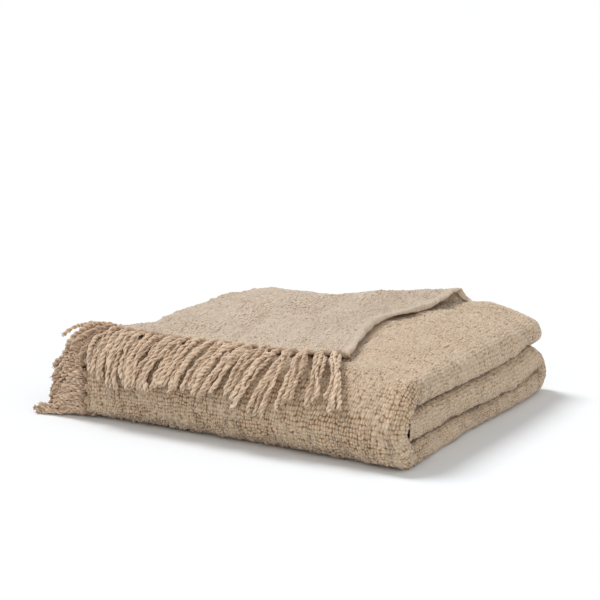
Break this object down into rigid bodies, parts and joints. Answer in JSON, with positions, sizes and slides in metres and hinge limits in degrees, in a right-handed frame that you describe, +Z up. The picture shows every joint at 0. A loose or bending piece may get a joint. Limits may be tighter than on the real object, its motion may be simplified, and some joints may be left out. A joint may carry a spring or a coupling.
{
  "type": "folded throw blanket",
  "caption": "Chunky woven throw folded into a thick pack, its top corner turned over so that the knotted fringe lies along the front, with more fringe round the left end",
  "frame": {"origin": "on the ground, under the middle of the folded pack without its side fringe", "axes": "+X along the pack towards its closed end, +Y to the back edge with the selvedge, +Z up"},
  "size_m": [0.5705, 0.4677, 0.1362],
  "materials": {
    "cloth": "matt, chunky slub weave",
    "fringe": "matt, plied yarn"
  },
  "bodies": {
    "root": {"throw": "cloth", "fringe_corner": "fringe", "fringe_side": "fringe"}
  },
  "joints": []
}
